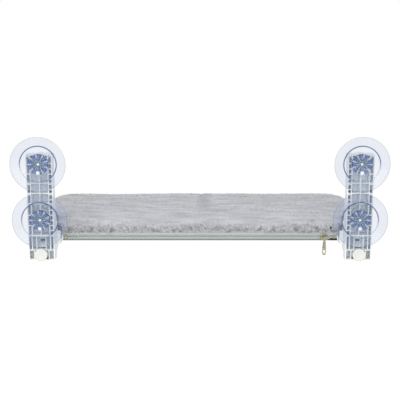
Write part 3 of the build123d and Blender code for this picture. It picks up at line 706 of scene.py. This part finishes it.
def plush_cloth():
    plush = Finish("grey_plush")
    x, y, z = plush.axes()
    strokes = plush.noise(20.0, detail=5.0, roughness=0.6, place=plush.place(scale=(0.8, 3.0, 1.5)))
    nap = plush.noise(320.0, detail=3.0, roughness=0.6)
    patches = plush.noise(9.0, detail=3.0)
    tuft_gap_shade = plush.noise(95.0, detail=3.0, roughness=0.6, place=plush.place(scale=(0.8, 1.0, 1.2)))
    front = y.ramp(cover_low.y + 0.010, cover_low.y + 0.004)
    front = front * z.ramp(cover_high.z - 0.002, cover_high.z - 0.006)
    row = abs(z - tuft_shade_row).ramp(0.0075, 0.0030)
    # The crease across the middle is painted darker in patches: painted shade in the crease.
    crease = abs(x - crease_place * 2).ramp(0.020, 0.004) * y.ramp(0.10, 0.15)
    crease = crease * patches.ramp(0.25, 0.55)
    colour = plush.mix(strokes.ramp(0.34, 0.62), tint(183, 184, 189), tint(211, 212, 218))
    colour = plush.mix(patches.ramp(0.4, 0.7) * 0.5, colour, tint(200, 200, 204))
    colour = plush.mix(crease * 0.45, colour, tint(166, 168, 176))
    colour = plush.mix(nap.ramp(0.60, 0.80) * 0.35, colour, tint(228, 227, 230))
    # Painted light: the near face is painted a little lighter, to make up for the light that it gets
    # less of than the top.
    colour = plush.mix(front * 0.5, colour, tint(204, 203, 204))
    # Dark spots in a row on the near face are painted shade between the tufts.
    colour = plush.mix(tuft_gap_shade.ramp(0.50, 0.62) * front * row * 0.8, colour, tint(152, 150, 152))
    surface = plush.principled(
        Base_Color=colour, Roughness=0.92, Sheen_Weight=0.25, Sheen_Roughness=0.5,
        Normal=plush.bump(strokes * 0.5 + nap * 0.35, strength=0.5, distance=0.0022),
    )
    return plush.close(surface)


lining_threads_per_metre = 5200.0


def woven_lining():
    lining = Finish("woven_lining")
    x, y, _ = lining.axes()
    weft = (x * lining_threads_per_metre).sine()
    warp = weft * (y * lining_threads_per_metre).sine() * 0.5 + 0.5
    cloud = lining.noise(40.0, detail=3.0)
    colour = lining.mix(warp * 0.4 + cloud * 0.3, tint(150, 153, 152), tint(186, 189, 188))
    surface = lining.principled(
        Base_Color=colour, Roughness=0.85, Sheen_Weight=0.1,
        Normal=lining.bump(warp, strength=0.4, distance=0.0004),
    )
    return lining.close(surface)


plush_material = plush_cloth()
cover = piece(
    cover_blank(), "plush_cover", "bed", plush_material, ["cover_top", "cover_base"],
)
remeshed(cover, voxel=0.0055)
filled(cover, frames=16, reach=0.006)
division = cover.modifiers.new("finer", "SUBSURF")
division.levels = 1
division.render_levels = 1
applied(cover)
settle(cover)
cover.data.materials.append(woven_lining())
for face in cover.data.polygons:
    face.use_smooth = True
    low_face = face.center.z < base_low.z + 0.006 and face.normal.z < -0.35
    face.material_index = 1 if low_face else 0

# Plush pile
# Short leaning tufts of the same plush: each is a thin bent blade, longest along the near edge.

blade_half_width = 0.0009
blade_length = 0.0042
blade_bend = 0.0016
blade_lean_low = (0.5, -0.3, -3.14)
blade_lean_high = (1.2, 0.3, 3.14)


def tuft():
    bm = bmesh.new()
    bmesh.ops.create_grid(bm, x_segments=1, y_segments=3, size=0.5)
    for vert in bm.verts:
        share = vert.co.y + 0.5
        width = blade_half_width * (1.0 - share * 0.8)
        vert.co = (vert.co.x * 2.0 * width, share * share * blade_bend, share * blade_length)
    mesh = bpy.data.meshes.new("tuft")
    bm.to_mesh(mesh)
    bm.free()
    return bpy.data.objects.new("tuft", mesh)


# Strews blades over the part of a surface above the zip, where it does or doesn't face the pane
def strewn(made, on, blade, density, side, facing, size):
    group = bpy.data.node_groups.new("pile", "GeometryNodeTree")
    group.interface.new_socket("Geometry", in_out="OUTPUT", socket_type="NodeSocketGeometry")

    def add(kind, settings=None, inputs=None):
        node = group.nodes.new(kind)
        for key, value in (settings or {}).items():
            setattr(node, key, value)
        for key, value in (inputs or {}).items():
            if isinstance(value, bpy.types.NodeSocket):
                group.links.new(value, node.inputs[key])
            else:
                node.inputs[key].default_value = value
        return node

    def compared(operation, value, limit):
        return add("FunctionNodeCompare", {"operation": operation}, {0: value, 1: limit}).outputs[0]

    def both(first, second):
        return add("FunctionNodeBooleanMath", {"operation": "AND"}, {0: first, 1: second}).outputs[0]

    ground = add("GeometryNodeObjectInfo", {"transform_space": "ORIGINAL"}, {"Object": on})
    stem = add("GeometryNodeObjectInfo", {"transform_space": "ORIGINAL"}, {"Object": blade})
    normal = add("ShaderNodeSeparateXYZ", None, {0: add("GeometryNodeInputNormal").outputs[0]})
    spot = add("ShaderNodeSeparateXYZ", None, {0: add("GeometryNodeInputPosition").outputs[0]})
    upward = compared("GREATER_THAN", normal.outputs["Z"], -0.5)
    within = compared(side, normal.outputs["Y"], facing)
    above = compared("GREATER_THAN", spot.outputs["Z"], tape_high.z)
    chosen = both(both(upward, within), above)
    points = add(
        "GeometryNodeDistributePointsOnFaces", {"distribute_method": "RANDOM"},
        {
            "Mesh": ground.outputs["Geometry"], "Selection": chosen,
            "Density": density, "Seed": 4,
        },
    )
    lean = add(
        "FunctionNodeRandomValue", {"data_type": "FLOAT_VECTOR"},
        {0: blade_lean_low, 1: blade_lean_high, 8: 3},
    )
    tilt = add("FunctionNodeEulerToRotation", None, {0: lean.outputs[0]})
    turn = add(
        "FunctionNodeRotateRotation", {"rotation_space": "LOCAL"},
        {0: points.outputs["Rotation"], 1: tilt.outputs[0]},
    )
    scale = add("FunctionNodeRandomValue", {"data_type": "FLOAT"}, {2: size * 0.6, 3: size * 1.2, 8: 9})
    placed = add(
        "GeometryNodeInstanceOnPoints", None,
        {
            "Points": points.outputs["Points"], "Instance": stem.outputs["Geometry"],
            "Rotation": turn.outputs[0], "Scale": scale.outputs[1],
        },
    )
    real = add("GeometryNodeRealizeInstances", None, {0: placed.outputs[0]})
    out = add("NodeGroupOutput")
    group.links.new(real.outputs[0], out.inputs[0])
    modifier = made.modifiers.new("pile", "NODES")
    modifier.node_group = group
    bpy.context.view_layer.update()
    applied(made)
    made.data.materials.clear()
    made.data.materials.append(plush_material)
    for face in made.data.polygons:
        face.use_smooth = True


blade = tuft()
bpy.context.scene.collection.objects.link(blade)
pane_facing = -0.5
tufts_per_square_metre = 420000.0
nap_per_square_metre = 100000.0
tufts = piece(bmesh.new(), "front_tufts", "bed", plush_material)
strewn(tufts, cover, blade, tufts_per_square_metre, "LESS_THAN", pane_facing, size=1.0)
nap = piece(bmesh.new(), "top_nap", "bed", plush_material)
strewn(nap, cover, blade, nap_per_square_metre, "GREATER_THAN", pane_facing, size=0.5)
bpy.data.objects.remove(blade)

# Zip tapes
# Two woven tapes of pale grey-green polyester, stitched to the cover along both edges.

zip_line = (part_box("zip_tape_upper")[0].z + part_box("zip_tape_lower")[1].z) / 2
stitch_drop = 0.0057
stitches_per_metre = 1260.0
groove_shadow_rise = 0.0024
open_end_shade_x = tape_high.x - 0.0075
open_end_shade_drop = 0.0060
open_end_shade_half_length = 0.0085
open_end_shade_half_height = 0.0034


def zip_cloth():
    cloth = Finish("zip_tape_cloth")
    x, _, z = cloth.axes()
    weave = (x * 4200.0 + z * 9000.0).sine() * 0.5 + 0.5
    ridge = (z * 5200.0).sine() * 0.5 + 0.5
    cloud = cloth.noise(60.0, detail=3.0)
    up = z - zip_line
    stitch = abs(up + stitch_drop).ramp(0.0022, 0.0010)
    stitch = stitch * ((x * stitches_per_metre).sine() * 0.25 + 0.75)
    groove_shadow = abs(up - groove_shadow_rise).ramp(0.0011, 0.0004)
    threads = weave * 0.3 + ridge * 0.3 + cloud * 0.2
    colour = cloth.mix(threads, tint(180, 187, 185), tint(203, 207, 206))
    # A dark line just above the coil is a painted shadow in the groove along the upper tape's edge.
    colour = cloth.mix(groove_shadow * 0.7, colour, tint(138, 152, 150))
    colour = cloth.mix(stitch * 0.9, colour, tint(92, 102, 92))
    # A near-black oval near the right end is painted shade: the shadow in the open mouth of the zip
    # beyond the slider.
    along = (x - open_end_shade_x) / open_end_shade_half_length
    down = (up + open_end_shade_drop) / open_end_shade_half_height
    open_end_shade = (along * along + down * down).ramp(1.15, 0.85)
    colour = cloth.mix(open_end_shade, colour, tint(38, 38, 40))
    surface = cloth.principled(
        Base_Color=colour, Roughness=0.8,
        Normal=cloth.bump(weave + ridge + stitch, strength=0.4, distance=0.0004),
    )
    return cloth.close(surface)


tape_seat = 0.0004
tape_thickness = 0.0007


def tape(low, high, bulge):
    bm = bmesh.new()
    bmesh.ops.create_grid(bm, x_segments=160, y_segments=8, size=0.5)
    length = high.x - low.x
    for vert in bm.verts:
        along, up = vert.co.x, vert.co.y + 0.5
        wave = noise.noise(Vector((along * 16.0, up * 2.0, 0.3))) * 0.0005
        belly = math.sin(up * math.pi) * bulge
        x = along * length
        z = low.z + (high.z - low.z) * up
        vert.co = (x, high.y - tape_seat - belly - abs(wave), z)
    bmesh.ops.recalc_face_normals(bm, faces=bm.faces)
    return bm


tape_material = zip_cloth()
for name in ("upper", "lower"):
    low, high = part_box(f"zip_tape_{name}")
    made = piece(
        tape(low, high, bulge=0.0006), f"woven_tape_{name}", "bed", tape_material,
        [f"zip_tape_{name}"],
    )
    thick = made.modifiers.new("cloth thickness", "SOLIDIFY")
    thick.thickness = tape_thickness
    thick.offset = 0.0

# Zip coils
# Nylon coil sewn to each tape's edge: one small loop after another, hooked into its partner.
# A loop is a flat bead here, half a pitch on from the one that it meets.

coil_material = plain_plastic("coil_nylon", tint(180, 190, 188), tint(204, 212, 209), 0.4)
coil_low, coil_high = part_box("zip_coil_upper")
coil_pitch = 0.0021
coil_loop_length = 0.0013
coil_loop_depth = 0.0021
coil_overlap = 0.0003
coil_count = int((coil_high.x - coil_low.x) / coil_pitch)


def coil_loop():
    bm = bmesh.new()
    bmesh.ops.create_uvsphere(bm, u_segments=8, v_segments=6, radius=0.5)
    loop_size = (coil_loop_length, coil_loop_depth, coil_high.z - coil_low.z)
    bmesh.ops.scale(bm, vec=loop_size, verts=bm.verts)
    bmesh.ops.translate(bm, vec=(0, coil_high.y - 0.0009, 0), verts=bm.verts)
    return bm


for name, side in (("upper", 1), ("lower", -1)):
    low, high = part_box(f"zip_coil_{name}")
    bm = coil_loop()
    lead = coil_pitch / 2 if side > 0 else coil_pitch
    height = (low.z + high.z) / 2 - side * coil_overlap
    bmesh.ops.translate(bm, vec=(low.x + lead, 0, height), verts=bm.verts)
    made = piece(bm, f"nylon_coil_{name}", "bed", coil_material, [f"zip_coil_{name}"])
    row = made.modifiers.new("loops", "ARRAY")
    row.use_relative_offset = False
    row.use_constant_offset = True
    row.constant_offset_displace = (coil_pitch, 0, 0)
    row.count = coil_count
    applied(made)

# Zip stops, slider and pull tab
# Die cast brass plated zinc, rubbed bright in random patches.


def worn_brass():
    brass = Finish("worn_brass")
    wear = brass.noise(380.0, detail=5.0, roughness=0.6)
    colour = brass.mix(wear.ramp(0.35, 0.7), tint(118, 114, 93), tint(190, 188, 166))
    surface = brass.principled(
        Base_Color=colour, Metallic=1.0, Roughness=wear * 0.25 + 0.25,
        Normal=brass.bump(wear, strength=0.2, distance=0.0003),
    )
    return brass.close(surface)


coat(worn_brass(), "zip_stop_left", "zip_stop_right", "zip_slider", "zip_pull")

# Corner eyelet
# A small black nylon eyelet pressed through the plush at the near right corner.

eyelet_profile = [
    (0.0007, 0.0004),
    (0.0012, 0.0),
    (0.0019, 0.0003),
    (0.0021, 0.0010),
    (0.0016, 0.0044),
    (0.0, 0.0044),
    (0.0, 0.0020),
    (0.0006, 0.0016),
    (0.0007, 0.0004),
]
eyelet_place = (0.2442, cover_low.y - 0.0030, axis_z + 0.0031)
piece(
    turned(eyelet_profile, eyelet_place, steps=24), "corner_eyelet", "bed", cap_material,
    crease=40,
)

# Camera
# It looks through the pane from outside, a little above the bed, through a long lens.

view_tilt = math.radians(11.5)
view_distance = 1.65
view_target = Vector((0.0, 0.012, -0.0151))
camera_data = bpy.data.cameras.new("camera")
camera = bpy.data.objects.new("camera", camera_data)
bpy.context.scene.collection.objects.link(camera)
camera_data.lens = 82.0
camera_data.sensor_width = 36.0
camera.location = view_target + Vector((0, -math.cos(view_tilt), math.sin(view_tilt))) * view_distance
camera.rotation_mode = "QUATERNION"
camera.rotation_quaternion = (view_target - camera.location).to_track_quat("-Z", "Y")
bpy.context.scene.camera = camera

# Floor, sky and lamps
# A white floor well below the perch, and wide soft light from above and in front.

floor_z = -0.75
floor_half_width = 20.0
shown_rays = ("Is Camera Ray", "Is Glossy Ray", "Is Transmission Ray")


def stage_white():
    white = Finish("stage_white")
    lit = white.node("ShaderNodeBsdfDiffuse", None, {"Color": (0.92, 0.92, 0.92, 1)})
    seen = white.node("ShaderNodeEmission", None, {"Color": (1, 1, 1, 1), "Strength": 1.12})
    rays = [white.node("ShaderNodeLightPath", output=name) for name in shown_rays]
    share = white.math("MAXIMUM", rays[0], rays[1])
    share = white.math("MAXIMUM", share, rays[2])
    return white.close(white.node("ShaderNodeMixShader", None, (share * 0.8, lit, seen)))


bm = bmesh.new()
bmesh.ops.create_grid(bm, x_segments=1, y_segments=1, size=floor_half_width)
bmesh.ops.translate(bm, vec=(0, 0, floor_z), verts=bm.verts)
floor_mesh = bpy.data.meshes.new("floor")
bm.to_mesh(floor_mesh)
bm.free()
floor = bpy.data.objects.new("floor", floor_mesh)
floor_mesh.materials.append(stage_white())
bpy.context.scene.collection.objects.link(floor)

world = bpy.data.worlds.new("soft_sky")
world.use_nodes = True
sky_nodes = world.node_tree.nodes
links = world.node_tree.links
sky = sky_nodes["Background"]
sky.inputs["Color"].default_value = (1, 1, 1, 1)
sky.inputs["Strength"].default_value = 0.66
bpy.context.scene.world = world
path = sky_nodes.new("ShaderNodeLightPath")
seen_sky = sky_nodes.new("ShaderNodeBackground")
seen_sky.inputs["Color"].default_value = (1, 1, 1, 1)
seen_sky.inputs["Strength"].default_value = 1.0
choose = sky_nodes.new("ShaderNodeMixShader")
seen_ray = path.outputs[shown_rays[0]]
for other in shown_rays[1:]:
    either = sky_nodes.new("ShaderNodeMath")
    either.operation = "MAXIMUM"
    links.new(seen_ray, either.inputs[0])
    links.new(path.outputs[other], either.inputs[1])
    seen_ray = either.outputs[0]
links.new(seen_ray, choose.inputs[0])
links.new(sky.outputs[0], choose.inputs[1])
links.new(seen_sky.outputs[0], choose.inputs[2])
links.new(choose.outputs[0], sky_nodes["World Output"].inputs[0])


def lamp(name, place, target, size, power):
    data = bpy.data.lights.new(name, "AREA")
    data.shape = "RECTANGLE"
    data.size = size
    data.size_y = size
    data.energy = power
    made = bpy.data.objects.new(name, data)
    made.location = place
    made.rotation_mode = "QUATERNION"
    made.rotation_quaternion = (Vector(target) - Vector(place)).to_track_quat("-Z", "Y")
    bpy.context.scene.collection.objects.link(made)


lamp("key", place=(-0.7, -1.6, 1.3), target=(0, 0.15, -0.05), size=1.2, power=15.0)
lamp("fill", place=(0.15, -2.0, 0.4), target=(0, 0.05, -0.05), size=1.2, power=10.5)
bpy.context.scene.view_settings.view_transform = "Standard"
